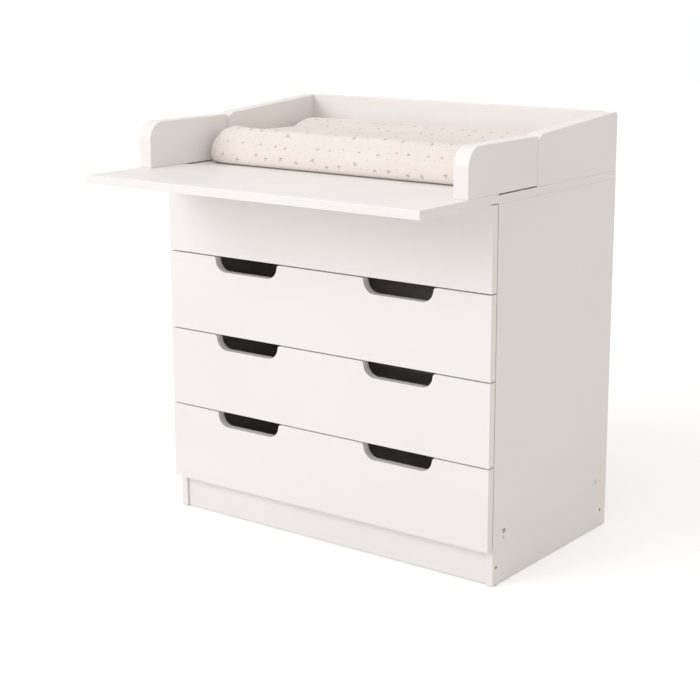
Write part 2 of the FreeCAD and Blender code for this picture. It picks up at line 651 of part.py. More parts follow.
def changing_mat():
    """The padded mat, lofted through sections that draw in towards both ends."""
    end_x = value(f"({HALF_WIDTH} - Sizes.wing_board - Sizes.mat_side_gap)")
    low_y = value(f"({FRONTS_Y} + Sizes.mat_front_gap)")
    high_y = value(f"({CHEST_BACK} - Sizes.back_board - Sizes.mat_back_gap)")
    floor_z = value(f"({CHEST_TOP} + Sizes.mat_clearance)")
    rounding = value("Sizes.mat_end")
    ends = [(end_x - rounding * along, rounding * inset) for along, inset in END_STEPS]
    stations = [(-x, inset) for x, inset in ends] + [(x, inset) for x, inset in reversed(ends)]
    sections = [mat_section(x, low_y, high_y, floor_z, inset) for x, inset in stations]
    mat = doc.addObject("Part::Feature", "changing_mat")
    mat.Shape = Part.makeLoft(sections, True, True)
    return mat


# ---- The whole dresser ----

nodes = chest() + changing_top() + runners()
for number in DRAWERS:
    nodes += drawer(number)
nodes += [changing_mat(), side_screws(), cover_caps(), floor_glides(), joining_dowels()]
doc.recompute()

for item in doc.Objects:
    if {"Invalid", "Error"} & set(item.State):
        raise RuntimeError(f"{item.Label} did not build: {item.State}")
for node in nodes:
    if node.Shape.isNull() or not node.Shape.isValid() or not node.Shape.Solids:
        raise RuntimeError(f"{node.Label} has no valid solid")

for node in nodes:
    node.Shape.exportStep(f"parts/{node.Label}.step")
    box = node.Shape.BoundBox
    print(f"{node.Label:24s} solids {len(node.Shape.Solids):2d}  "
          f"X {box.XMin:7.1f} {box.XMax:7.1f}  Y {box.YMin:7.1f} {box.YMax:7.1f}  "
          f"Z {box.ZMin:6.1f} {box.ZMax:6.1f}  {node.Shape.Volume / 1000:9.1f} cm3")
print(len(nodes), "nodes")
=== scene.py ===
import math

import bmesh
import bpy
import numpy as np
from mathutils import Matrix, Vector, noise


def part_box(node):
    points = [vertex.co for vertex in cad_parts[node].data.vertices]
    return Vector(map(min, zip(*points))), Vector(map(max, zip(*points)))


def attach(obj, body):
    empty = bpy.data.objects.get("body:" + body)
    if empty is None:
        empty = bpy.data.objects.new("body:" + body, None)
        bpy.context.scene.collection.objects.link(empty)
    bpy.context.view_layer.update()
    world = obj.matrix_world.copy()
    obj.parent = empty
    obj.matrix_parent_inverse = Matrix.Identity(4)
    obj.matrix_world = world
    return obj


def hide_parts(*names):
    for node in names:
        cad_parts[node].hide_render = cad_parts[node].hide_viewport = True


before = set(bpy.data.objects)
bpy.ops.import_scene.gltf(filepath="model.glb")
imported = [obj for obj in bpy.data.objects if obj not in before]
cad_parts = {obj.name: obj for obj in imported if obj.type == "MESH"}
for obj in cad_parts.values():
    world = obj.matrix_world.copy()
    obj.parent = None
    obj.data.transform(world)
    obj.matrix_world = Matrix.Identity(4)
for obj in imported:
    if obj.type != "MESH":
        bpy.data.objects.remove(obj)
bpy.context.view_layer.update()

# ---- Chest: two sides, top, shelf, plinths and front rail ----
# The carcass is 16 and 18 mm chipboard under a satin white foil. The boards are sawn square,
# their edges are banded in the same white and broken by hand, and they are screwed and
# dowelled together, with the shelf on the two plinths.

FOIL_TONE = (0.872, 0.848, 0.832, 1)
FOIL_DEEP_TONE = (0.850, 0.822, 0.803, 1)
BAND_TONE = (0.900, 0.884, 0.870, 1)
RUB_TONE = (0.70, 0.665, 0.63, 1)
NOISE_MIDDLE = (0.35, 0.65)
NOISE_BODY = (0.3, 0.7)
RUB_RANGE = (0.56, 0.74)
CLOUD_SCALE = 3.1
SPECK_SCALE = 95.0
SPECK_SHARE = 0.16
RUB_SCALE = 34.0
RUB_SHARE = 0.5
SMEAR_SCALE = 9.0
CHIP_SCALE = 120.0
CHIP_DEPTH = 0.00004
PEEL_SCALE = 620.0
PEEL_DEPTH = 0.00003
FOIL_SHINE = 0.42
BORE_STEP = 0.0012
BOARD_ARRIS = 0.0009
WELD_REACH = 1e-5
FLAT_TURN = math.radians(0.5)
EDGE_TURN = math.radians(40)


def finish_node(tree, kind, inputs=None, **settings):
    """One node of a finish, with its settings and its inputs as numbers or links."""
    made = tree.nodes.new(kind)
    for name, setting in settings.items():
        setattr(made, name, setting)
    for name, given in (inputs or {}).items():
        if isinstance(given, bpy.types.NodeSocket):
            tree.links.new(given, made.inputs[name])
        else:
            made.inputs[name].default_value = given
    return made


def new_finish(name):
    """An empty finish: its tree, its shader and the piece's own coordinates."""
    finish = bpy.data.materials.new(name)
    finish.use_nodes = True
    tree = finish.node_tree
    place = finish_node(tree, "ShaderNodeTexCoord").outputs["Object"]
    return finish, tree, tree.nodes["Principled BSDF"], place


def grain(tree, place, scale, detail=2.0, stretch=(1, 1, 1)):
    """A noise over the piece, stretched along a direction where the stretch is small."""
    pulled = finish_node(tree, "ShaderNodeVectorMath", {0: place, 1: stretch}, operation="MULTIPLY")
    texture = finish_node(tree, "ShaderNodeTexNoise",
                          {"Vector": pulled.outputs[0], "Scale": scale, "Detail": detail})
    return texture.outputs[0]


def spread(tree, source, low, high, start=0.0, end=1.0):
    """A value mapped from one range to another and held inside it."""
    mapped = finish_node(tree, "ShaderNodeMapRange", {"Value": source, "From Min": low, "From Max": high,
                                                      "To Min": start, "To Max": end})
    return mapped.outputs["Result"]


def combined(tree, operation, first, second):
    """Two values joined by one operation."""
    return finish_node(tree, "ShaderNodeMath", {0: first, 1: second}, operation=operation).outputs[0]


def tint(tree, share, below, above):
    """A colour between two others."""
    mixed = finish_node(tree, "ShaderNodeMix", {0: share, 6: below, 7: above}, data_type="RGBA")
    return mixed.outputs[2]


def relief(tree, height, depth, strength=1.0, under=None):
    """A bump of a depth in metres, over another bump if one is given."""
    inputs = {"Height": height, "Distance": depth, "Strength": strength}
    if under is not None:
        inputs["Normal"] = under
    return finish_node(tree, "ShaderNodeBump", inputs).outputs["Normal"]


def foil_finish(name, tone, deep_tone, band_tone, dull, bright):
    """Pressed foil on chipboard: cloudy tone, orange peel, and rubbed edge bands."""
    finish, tree, shader, place = new_finish(name)
    cloud = spread(tree, grain(tree, place, CLOUD_SCALE, 3.0), *NOISE_MIDDLE)
    speck = spread(tree, grain(tree, place, SPECK_SCALE), *NOISE_BODY)
    face = tint(tree, cloud, tone, deep_tone)
    face = tint(tree, combined(tree, "MULTIPLY", speck, SPECK_SHARE), face, deep_tone)
    band = finish_node(tree, "ShaderNodeAttribute", attribute_name="edge_band").outputs["Fac"]
    rub = spread(tree, grain(tree, place, RUB_SCALE, 4.0), *RUB_RANGE)
    rubbed = combined(tree, "MULTIPLY", combined(tree, "MULTIPLY", rub, band), RUB_SHARE)
    edged = tint(tree, band, face, band_tone)
    tree.links.new(tint(tree, rubbed, edged, RUB_TONE), shader.inputs["Base Color"])
    smear = spread(tree, grain(tree, place, SMEAR_SCALE, 4.0), *NOISE_BODY, bright, dull)
    tree.links.new(smear, shader.inputs["Roughness"])
    chips = relief(tree, grain(tree, place, CHIP_SCALE), CHIP_DEPTH, 0.5)
    peel = relief(tree, grain(tree, place, PEEL_SCALE, 1.0), PEEL_DEPTH, 0.6, chips)
    tree.links.new(peel, shader.inputs["Normal"])
    shader.inputs["Specular IOR Level"].default_value = FOIL_SHINE
    return finish


def placed(name, content):
    """An object of the scene that holds a mesh, a lamp or a camera."""
    item = bpy.data.objects.new(name, content)
    bpy.context.scene.collection.objects.link(item)
    return item


def square_board(node, body, finish, arris=BOARD_ARRIS):
    """A board from its solid: sound faces, broken outer edges, and the broken strips marked."""
    shape = bmesh.new()
    shape.from_mesh(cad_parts[node].data)
    bmesh.ops.remove_doubles(shape, verts=shape.verts, dist=WELD_REACH)
    bmesh.ops.dissolve_limit(shape, angle_limit=FLAT_TURN, verts=shape.verts, edges=shape.edges)
    band = shape.faces.layers.float.new("edge_band")
    outer = [edge for edge in shape.edges if edge.calc_length() > BORE_STEP
             and edge.calc_face_angle_signed() > EDGE_TURN]
    bmesh.ops.bevel(shape, geom=outer, offset=arris, segments=3, profile=0.5, affect="EDGES",
                    clamp_overlap=True)
    for face in shape.faces:
        face[band] = face.calc_area() < arris * max(edge.calc_length() for edge in face.edges)
        face.smooth = True
    mesh = bpy.data.meshes.new(f"{node}_board")
    shape.to_mesh(mesh)
    shape.free()
    mesh.set_sharp_from_angle(angle=EDGE_TURN)
    mesh.materials.append(finish)
    board = placed(f"{node}_board", mesh)
    even = board.modifiers.new("even_faces", "WEIGHTED_NORMAL")
    even.keep_sharp = True
    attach(board, body)
    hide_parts(node)
    return board


white_foil = foil_finish("white_foil", FOIL_TONE, FOIL_DEEP_TONE, BAND_TONE, dull=0.46, bright=0.36)
for board_node in ("top_panel", "shelf", "front_plinth", "rear_plinth", "front_rail"):
    square_board(board_node, "chest", white_foil)

# A slot is milled through the foil under each front cap, and shows the chipboard's core.
CORE_TONE = (0.235, 0.165, 0.105, 1)
CORE_DEEP_TONE = (0.120, 0.080, 0.050, 1)
FLAKE_SCALE = 900.0
FLAKE_DEPTH = 0.0002
SLOT_DROP = 0.015
SLOT_REACH = 0.0046
FOIL_THICKNESS = 0.0002

core, tree, shader, place = new_finish("chipboard_core")
flakes = spread(tree, grain(tree, place, FLAKE_SCALE, 3.0), 0.4, 0.6)
tree.links.new(tint(tree, flakes, CORE_TONE, CORE_DEEP_TONE), shader.inputs["Base Color"])
tree.links.new(relief(tree, flakes, FLAKE_DEPTH, 0.8), shader.inputs["Normal"])
shader.inputs["Roughness"].default_value = 0.9

caps_low, caps_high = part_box("cover_caps")
cap_round = (caps_high.z - caps_low.z) / 2
slot_middle = Vector((caps_high.x, caps_low.y + cap_round, caps_high.z - cap_round - SLOT_DROP))
for hand in ("left", "right"):
    panel = square_board(f"side_panel_{hand}", "chest", white_foil)
    panel.data.materials.append(core)
    for face in panel.data.polygons:
        below = Vector((abs(face.center.x) + FOIL_THICKNESS, face.center.y, face.center.z)) - slot_middle
        if below.x < 0 and abs(below.y) < SLOT_REACH and abs(below.z) < SLOT_REACH:
            face.material_index = 1

# ---- Back sheet ----
# One 3 mm hardboard sheet closes the back. It is painted white, slides into the grooves of
# both sides, and shows the fine screen print of the press on its face.

SHEET_TONE = (0.800, 0.785, 0.760, 1)
SHEET_FIBRE = (0.765, 0.746, 0.718, 1)
FIBRE_SCALE = 420.0
FIBRE_STRETCH = (1, 1, 0.35)
SCREEN_PITCH = 0.0016
SCREEN_DEPTH = 0.00008
SHEET_ARRIS = 0.0003
WAVE_RUN = 0.314  # metres from band to band in a wave texture of scale 1


def waves(tree, place, pitch, directions):
    """Waves of a pitch in metres, one along each direction."""
    return [finish_node(tree, "ShaderNodeTexWave", {"Vector": place, "Scale": WAVE_RUN / pitch},
                        bands_direction=direction).outputs["Fac"] for direction in directions]


sheet_finish, tree, shader, place = new_finish("painted_hardboard")
fibres = spread(tree, grain(tree, place, FIBRE_SCALE, 3.0, FIBRE_STRETCH), 0.35, 0.7)
tree.links.new(tint(tree, fibres, SHEET_TONE, SHEET_FIBRE), shader.inputs["Base Color"])
tree.links.new(spread(tree, fibres, 0, 1, 0.55, 0.7), shader.inputs["Roughness"])
screen = combined(tree, "MULTIPLY", *waves(tree, place, SCREEN_PITCH, ("X", "Z")))
tree.links.new(relief(tree, screen, SCREEN_DEPTH, 0.6), shader.inputs["Normal"])
square_board("back_panel", "chest", sheet_finish, SHEET_ARRIS)

# ---- Roller runners ----
# Each drawer hangs on two pairs of bent steel members in white epoxy, one screwed to the
# chest's side and one under the box. The press leaves their bends round, and a nylon roller
# is riveted to the front of the fixed member and to the back of the moving one.

LEVELS = (1, 2, 3, 4)
HANDS = {"left": -1, "right": 1}
EPOXY_TONE = (0.815, 0.815, 0.800, 1)
EPOXY_DEEP = (0.760, 0.758, 0.740, 1)
# The screw zinc is far darker than real plate: painted shade standing for the shadowed recess round the
# heads.
SHADED_ZINC_TONE = (0.230, 0.222, 0.210, 1)
SHADED_ZINC_DEEP = (0.130, 0.125, 0.118, 1)
ZINC_SCALE = 1400.0
STEEL_BEND = 0.0004
STEEL_SHEET = 0.0012
PIECE_TURN = math.radians(35)
HEAD_SIDES = 32
RUNNER_SCREW_STEPS = (0.055, 0.215, 0.375)
RUNNER_HEAD = {"Head Radius": 0.0034, "Head Height": 0.0012, "Recess Length": 0.0040,
               "Recess Width": 0.0009, "Recess Depth": 0.0008}


def coated(name, tone, deep_tone, cloud_scale, gloss, fine_scale, fine_depth, strength):
    """A smooth coat or moulding: a faint cloud in its colour and a fine relief on its face."""
    finish, tree, shader, place = new_finish(name)
    cloud = spread(tree, grain(tree, place, cloud_scale, 3.0), *NOISE_MIDDLE)
    tree.links.new(tint(tree, cloud, tone, deep_tone), shader.inputs["Base Color"])
    tree.links.new(spread(tree, cloud, 0, 1, *gloss), shader.inputs["Roughness"])
    fine = relief(tree, grain(tree, place, fine_scale, 1.0), fine_depth, strength)
    tree.links.new(fine, shader.inputs["Normal"])
    return finish


epoxy = coated("white_epoxy", EPOXY_TONE, EPOXY_DEEP, cloud_scale=60.0, gloss=(0.28, 0.42),
               fine_scale=900.0, fine_depth=0.00003, strength=0.7)

# Zinc finish for all screw heads, darkened as painted shade for the recess each head sits in.
shaded_zinc, tree, shader, place = new_finish("zinc_plate_painted_shade")
bloom = spread(tree, grain(tree, place, ZINC_SCALE), *NOISE_BODY)
tree.links.new(tint(tree, bloom, SHADED_ZINC_TONE, SHADED_ZINC_DEEP), shader.inputs["Base Color"])
tree.links.new(spread(tree, bloom, 0, 1, 0.26, 0.42), shader.inputs["Roughness"])
shader.inputs["Metallic"].default_value = 1.0


def tree_of_sizes(name, sizes, finish):
    """A geometry tree with named sizes; it ends in real geometry with one finish."""
    group = bpy.data.node_groups.new(name, "GeometryNodeTree")
    group.interface.new_socket("Geometry", in_out="INPUT", socket_type="NodeSocketGeometry")
    group.interface.new_socket("Geometry", in_out="OUTPUT", socket_type="NodeSocketGeometry")
    keys = {size: group.interface.new_socket(size, in_out="INPUT", socket_type="NodeSocketFloat").identifier
            for size in sizes}
    start = group.nodes.new("NodeGroupInput")
    made = finish_node(group, "GeometryNodeRealizeInstances")
    dressed = finish_node(group, "GeometryNodeSetMaterial", {"Geometry": made.outputs[0], "Material": finish})
    end = group.nodes.new("NodeGroupOutput")
    group.links.new(dressed.outputs[0], end.inputs[0])
    return group, keys, start.outputs, made.inputs["Geometry"]


def facing_points(name, places):
    """A mesh of loose points, each with the direction that its piece faces."""
    mesh = bpy.data.meshes.new(name)
    mesh.from_pydata([point for point, facing in places], [], [])
    directions = mesh.attributes.new("facing", "FLOAT_VECTOR", "POINT")
    directions.data.foreach_set("vector", [number for point, facing in places for number in facing])
    return mesh


def on_points(group, points, shape, join):
    """Stand a shape on every point, its Z axis along the direction that the point faces."""
    facing = finish_node(group, "GeometryNodeInputNamedAttribute", {"Name": "facing"},
                         data_type="FLOAT_VECTOR")
    turned = finish_node(group, "FunctionNodeAlignRotationToVector", {"Vector": facing.outputs[0]}, axis="Z")
    stood = finish_node(group, "GeometryNodeInstanceOnPoints",
                        {"Points": points, "Instance": shape, "Rotation": turned.outputs[0]})
    group.links.new(stood.outputs[0], join)


def shaped(piece):
    """The mesh that a piece's modifiers make of it."""
    return bpy.data.meshes.new_from_object(piece.evaluated_get(bpy.context.evaluated_depsgraph_get()))


def made_by(name, mesh, group, keys, sizes, body, slot, *nodes):
    """Run a tree over a mesh, keep the result as a plain piece and let it ride on its body."""
    seed = placed(f"{name}_seed", mesh)
    run = seed.modifiers.new("pattern", "NODES")
    run.node_group = group
    for size, amount in sizes.items():
        run[keys[size]] = amount
    result = shaped(seed)
    bpy.data.objects.remove(seed)
    # A primitive brings an empty slot of its own, so only the finish is kept.
    coat = [finish for finish in result.materials if finish][0]
    result.materials.clear()
    result.materials.append(coat)
    piece = placed(name, result)
    result.set_sharp_from_angle(angle=PIECE_TURN)
    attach(piece, body)
    if nodes:
        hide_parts(*nodes)
    return piece


screw_tree, screw_keys, screw_sizes, screw_join = tree_of_sizes("cross_head_screws", RUNNER_HEAD, shaded_zinc)
head = finish_node(screw_tree, "GeometryNodeMeshCylinder",
                   {"Vertices": HEAD_SIDES, "Radius": screw_sizes["Head Radius"],
                    "Depth": screw_sizes["Head Height"]})
half_height = combined(screw_tree, "MULTIPLY", screw_sizes["Head Height"], 0.5)
lift = finish_node(screw_tree, "ShaderNodeCombineXYZ", {"Z": half_height})
cross = finish_node(screw_tree, "GeometryNodeJoinGeometry")
for length, width in (("Recess Length", "Recess Width"), ("Recess Width", "Recess Length")):
    reach = finish_node(screw_tree, "ShaderNodeCombineXYZ",
                        {"X": screw_sizes[length], "Y": screw_sizes[width], "Z": screw_sizes["Recess Depth"]})
    arm = finish_node(screw_tree, "GeometryNodeMeshCube", {"Size": reach.outputs[0]})
    raised = finish_node(screw_tree, "GeometryNodeTransform",
                         {"Geometry": arm.outputs[0], "Translation": lift.outputs[0]})
    screw_tree.links.new(raised.outputs[0], cross.inputs[0])
# The arms of the cross overlap, so the cut has to allow for a shape that crosses itself.
sunk = finish_node(screw_tree, "GeometryNodeMeshBoolean",
                   {"Mesh 1": head.outputs[0], "Mesh 2": cross.outputs[0], "Self Intersection": True},
                   operation="DIFFERENCE", solver="EXACT")
on_points(screw_tree, screw_sizes["Geometry"], sunk.outputs[0], screw_join)

runner_heads = []
for level in LEVELS:
    for hand, sign in HANDS.items():
        channel = f"runner_{level}_{hand}"
        slide = f"drawer_{level}_slide_{hand}"
        square_board(channel, "chest", epoxy, STEEL_BEND)
        square_board(slide, f"drawer_{level}", epoxy, STEEL_BEND)
        low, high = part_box(channel)
        web = (low.x if sign < 0 else high.x) - sign * (STEEL_SHEET + RUNNER_HEAD["Head Height"] / 2)
        runner_heads += [((web, low.y + step, (low.z + high.z) / 2), (-sign, 0, 0))
                         for step in RUNNER_SCREW_STEPS]
made_by("runner_screws", facing_points("runner_screw_places", runner_heads), screw_tree, screw_keys,
        RUNNER_HEAD, "chest", "screw_steel")

# ---- Runner rollers ----
# The rollers are small nylon wheels with a round tread and a thin rim, and each turns on a
# steel rivet whose head closes it. Eight stand on the fixed members, two on each drawer.

NYLON_TONE = (0.760, 0.755, 0.730, 1)
NYLON_DEEP = (0.660, 0.650, 0.620, 1)
ROLLER_SIZES = {"Tread Radius": 0.0085, "Tread Width": 0.0070, "Tread Height": 0.0034,
                "Tread Round": 0.0011, "Web Width": 0.0052, "Rivet Radius": 0.0026, "Rivet Height": 0.0082}
ROLLER_MIDDLE = ROLLER_SIZES["Tread Width"] / 2
ROLLER_INSET = 0.012
ROLLER_RISE = 0.0025
WEB_BOSS = 0.0006
WHEEL_SIDES = 40
ROUND_STEPS = 4
RIVET_SIDES = 24

nylon = coated("white_nylon", NYLON_TONE, NYLON_DEEP, cloud_scale=300.0, gloss=(0.38, 0.52),
               fine_scale=2500.0, fine_depth=0.00002, strength=0.6)

roller_tree, roller_keys, roller_sizes, roller_join = tree_of_sizes("nylon_rollers", ROLLER_SIZES, nylon)
half_tread = combined(roller_tree, "MULTIPLY", roller_sizes["Tread Height"], 0.5)
tread_line = combined(roller_tree, "SUBTRACT", roller_sizes["Tread Radius"], half_tread)
tread_path = finish_node(roller_tree, "GeometryNodeCurvePrimitiveCircle",
                         {"Resolution": WHEEL_SIDES, "Radius": tread_line}, mode="RADIUS")
tread_box = finish_node(roller_tree, "GeometryNodeCurvePrimitiveQuadrilateral",
                        {"Width": roller_sizes["Tread Height"], "Height": roller_sizes["Tread Width"]},
                        mode="RECTANGLE")
tread_edge = finish_node(roller_tree, "GeometryNodeFilletCurve",
                         {"Curve": tread_box.outputs[0], "Count": ROUND_STEPS,
                          "Radius": roller_sizes["Tread Round"], "Limit Radius": True}, mode="POLY")
tread = finish_node(roller_tree, "GeometryNodeCurveToMesh",
                    {"Curve": tread_path.outputs[0], "Profile Curve": tread_edge.outputs[0]})
wheel = finish_node(roller_tree, "GeometryNodeJoinGeometry")
disc = finish_node(roller_tree, "GeometryNodeMeshCylinder",
                   {"Vertices": WHEEL_SIDES, "Radius": tread_line, "Depth": roller_sizes["Web Width"]})
rivet = finish_node(roller_tree, "GeometryNodeMeshCylinder",
                    {"Vertices": RIVET_SIDES, "Radius": roller_sizes["Rivet Radius"],
                     "Depth": roller_sizes["Rivet Height"]})
for part in (rivet, disc, tread):
    roller_tree.links.new(part.outputs[0], wheel.inputs[0])
on_points(roller_tree, roller_sizes["Geometry"], wheel.outputs[0], roller_join)


def roller_places(y, z, reach):
    """The middles of a left and a right roller, turned away from the drawer box."""
    return [((sign * reach, y, z), (sign, 0, 0)) for sign in HANDS.values()]


fixed_places = []
for level in LEVELS:
    channel_low, channel_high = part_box(f"runner_{level}_right")
    drawer_low, drawer_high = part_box(f"drawer_{level}_rollers")
    moving = roller_places((drawer_low.y + drawer_high.y) / 2, (drawer_low.z + drawer_high.z) / 2,
                           drawer_high.x - ROLLER_MIDDLE)
    made_by(f"drawer_{level}_nylon_rollers", facing_points(f"drawer_{level}_roller_places", moving),
            roller_tree, roller_keys, ROLLER_SIZES, f"drawer_{level}", "roller_nylon",
            f"drawer_{level}_rollers")
    fixed_places += roller_places(channel_low.y + ROLLER_INSET,
                                  channel_high.z + ROLLER_RISE - ROLLER_SIZES["Tread Radius"],
                                  channel_high.x - STEEL_SHEET - WEB_BOSS - ROLLER_MIDDLE)
made_by("fixed_nylon_rollers", facing_points("fixed_roller_places", fixed_places), roller_tree, roller_keys,
        ROLLER_SIZES, "chest", "roller_nylon", "runner_rollers")

# ---- Drawers ----
# Four drawers alike: a 19 mm front that covers the carcass, its two finger cut-outs milled
# into the top edge and coated with the face, and a box of 12 mm foiled board around a thin
# sheet that lies in a groove on all sides.

BOX_TONE = (0.790, 0.752, 0.680, 1)
BOX_DEEP_TONE = (0.748, 0.706, 0.632, 1)
BOX_EDGE_TONE = (0.740, 0.690, 0.610, 1)
FRONT_ARRIS = 0.0010
BOX_ARRIS = 0.0006

box_foil = foil_finish("box_foil", BOX_TONE, BOX_DEEP_TONE, BOX_EDGE_TONE, dull=0.58, bright=0.48)
for level in LEVELS:
    body = f"drawer_{level}"
    square_board(f"{body}_front", body, white_foil, FRONT_ARRIS)
    for part in ("side_left", "side_right", "back"):
        square_board(f"{body}_{part}", body, box_foil, BOX_ARRIS)
    square_board(f"{body}_bottom", body, sheet_finish, SHEET_ARRIS)

# ---- Changing top ----
# A board across the front carries the top out over the drawers. Thick wings with rounded
# corners stand along both ends, those behind rise to a board across the back, and dowels
# hold the pieces end to end. The seam between the wings of a side is left a little open.

TOP_ARRIS = 0.0012
WING_ARRIS = 0.0016
WING_GAP = 0.0018

square_board("extension_board", "chest", white_foil, TOP_ARRIS)
square_board("back_board", "chest", white_foil, TOP_ARRIS)
for hand in HANDS:
    square_board(f"rear_wing_{hand}", "chest", white_foil, WING_ARRIS)
    wing = square_board(f"front_wing_{hand}", "chest", white_foil, WING_ARRIS)
    seam_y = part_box(f"front_wing_{hand}")[1].y
    for vertex in wing.data.vertices:
        if vertex.co.y > seam_y - WING_ARRIS - BORE_STEP:
            vertex.co.y -= WING_GAP

# ---- Dowels ----
# Fluted beech dowels, 8 mm thick, glued half into each board where the top is joined end to
# end. Nothing of them shows once the pieces are together.

BEECH_TONE = (0.62, 0.46, 0.29, 1)
BEECH_DEEP = (0.50, 0.35, 0.20, 1)
BEECH_SCALE = 500.0
BEECH_STRETCH = (1, 0.06, 1)
BEECH_DEPTH = 0.0001

beech, tree, shader, place = new_finish("beech_dowel")
rings = spread(tree, grain(tree, place, BEECH_SCALE, 4.0, BEECH_STRETCH), *NOISE_MIDDLE)
tree.links.new(tint(tree, rings, BEECH_TONE, BEECH_DEEP), shader.inputs["Base Color"])
tree.links.new(relief(tree, rings, BEECH_DEPTH, 0.5), shader.inputs["Normal"])
shader.inputs["Roughness"].default_value = 0.62
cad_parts["joining_dowels"].material_slots[0].material = beech

# ---- Side screws ----
# Zinc-plated cross-head screws go through the sides into the ends of both plinths, and their
# flat heads lie in shallow sinkings flush with the board; their dark zinc is painted shade.

SIDE_HEAD = {"Head Radius": 0.0034, "Head Height": 0.0015, "Recess Length": 0.0042,
             "Recess Width": 0.0010, "Recess Depth": 0.0018}
SINKING_RADIUS = 0.0035

screw_low, screw_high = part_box("side_screws")
head_z = (screw_low.z + screw_high.z) / 2
head_places = []
for sign in HANDS.values():
    face = sign * (screw_high.x - SIDE_HEAD["Head Height"] / 2)
    head_places += [((face, y, head_z), (sign, 0, 0))
                    for y in (screw_low.y + SINKING_RADIUS, screw_high.y - SINKING_RADIUS)]
made_by("side_screw_heads", facing_points("side_screw_places", head_places), screw_tree, screw_keys,
        SIDE_HEAD, "chest", "screw_steel", "side_screws")

# ---- Cover caps ----
# Pale plastic caps press into the sides over the bolts of the lowest runners. Each front cap
# carries a near-black open ring round its bolt, painted shade for the hollow; the rear ones are plain.

CAP_SIZES = {"Cap Radius": 0.0060, "Cap Thickness": 0.0008}
RING_SIZES = {"Ring Radius": 0.0042, "Ring Thickness": 0.0009}
RING_START = math.radians(40)
RING_SWEEP = math.radians(280)
CAP_SIDES = 48
RING_STEPS = 40
RING_SIDES = 10
CAP_TONE = (0.720, 0.695, 0.670, 1)
CAP_DEEP = (0.640, 0.615, 0.585, 1)
# Near-black tones of the ring, which is painted shade standing for the shadow in the hollow round the bolt.
SHADE_RING_TONE = (0.060, 0.056, 0.050, 1)
SHADE_RING_DEEP = (0.110, 0.102, 0.092, 1)
MOULDED = {"cloud_scale": 350.0, "gloss": (0.42, 0.55), "fine_scale": 3000.0, "fine_depth": 0.00002,
           "strength": 0.6}

cap_plastic = coated("cap_plastic", CAP_TONE, CAP_DEEP, **MOULDED)
cap_tree, cap_keys, cap_sizes, cap_join = tree_of_sizes("cover_caps", CAP_SIZES, cap_plastic)
disc = finish_node(cap_tree, "GeometryNodeMeshCylinder",
                   {"Vertices": CAP_SIDES, "Radius": cap_sizes["Cap Radius"],
                    "Depth": cap_sizes["Cap Thickness"]})
on_points(cap_tree, cap_sizes["Geometry"], disc.outputs[0], cap_join)

# The ring's finish is painted shade, not a plastic of its own colour: it marks where the hollow round the
# bolt lies in shadow.
shade_ring_paint = coated("shade_ring_paint", SHADE_RING_TONE, SHADE_RING_DEEP, **MOULDED)
ring_tree, ring_keys, ring_sizes, ring_join = tree_of_sizes("painted_shade_rings", RING_SIZES, shade_ring_paint)
ring_path = finish_node(ring_tree, "GeometryNodeCurveArc",
                        {"Resolution": RING_STEPS, "Radius": ring_sizes["Ring Radius"],
                         "Start Angle": RING_START, "Sweep Angle": RING_SWEEP}, mode="RADIUS")
ring_round = finish_node(ring_tree, "GeometryNodeCurvePrimitiveCircle",
                         {"Resolution": RING_SIDES, "Radius": ring_sizes["Ring Thickness"]}, mode="RADIUS")
ring = finish_node(ring_tree, "GeometryNodeCurveToMesh",
                   {"Curve": ring_path.outputs[0], "Profile Curve": ring_round.outputs[0],
                    "Fill Caps": True})
on_points(ring_tree, ring_sizes["Geometry"], ring.outputs[0], ring_join)

front_y, rear_y = caps_low.y + cap_round, caps_high.y - cap_round
cap_z = caps_high.z - cap_round
cap_places = []
ring_places = []
for sign in HANDS.values():
    face = sign * (caps_high.x - CAP_SIZES["Cap Thickness"] / 2)
    cap_places += [((face, y, cap_z), (sign, 0, 0)) for y in (front_y, rear_y)]
    ring_places.append(((sign * caps_high.x, front_y, cap_z), (sign, 0, 0)))
made_by("cover_caps", facing_points("cap_places", cap_places), cap_tree, cap_keys, CAP_SIZES, "chest",
        "cap_plastic", "cover_caps")
made_by("cap_painted_shade_rings", facing_points("ring_places", ring_places), ring_tree, ring_keys, RING_SIZES, "chest",
        "cap_plastic")

# ---- Floor glides ----
# Dark moulded glides, nailed under the bottom edges of both sides, keep the boards off the
# floor. The CAD discs are the real shape and only take their plastic here.

GLIDE_TONE = (0.045, 0.045, 0.048, 1)
GLIDE_SCUFF = (0.085, 0.083, 0.080, 1)
SCUFF_SCALE = 260.0

glide_plastic, tree, shader, place = new_finish("glide_plastic")
scuff = spread(tree, grain(tree, place, SCUFF_SCALE, 4.0), 0.4, 0.7)
tree.links.new(tint(tree, scuff, GLIDE_TONE, GLIDE_SCUFF), shader.inputs["Base Color"])
tree.links.new(spread(tree, scuff, 0, 1, 0.45, 0.7), shader.inputs["Roughness"])
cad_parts["floor_glides"].material_slots[0].material = glide_plastic

# ---- Changing mat ----
# A foam mat in a cream cotton cover, laid loose on the top. Foam bolsters raise its front and
# back edges, the cover is cut in one piece round them with a sewn panel at each end, and it
# is printed with small scattered sprigs.

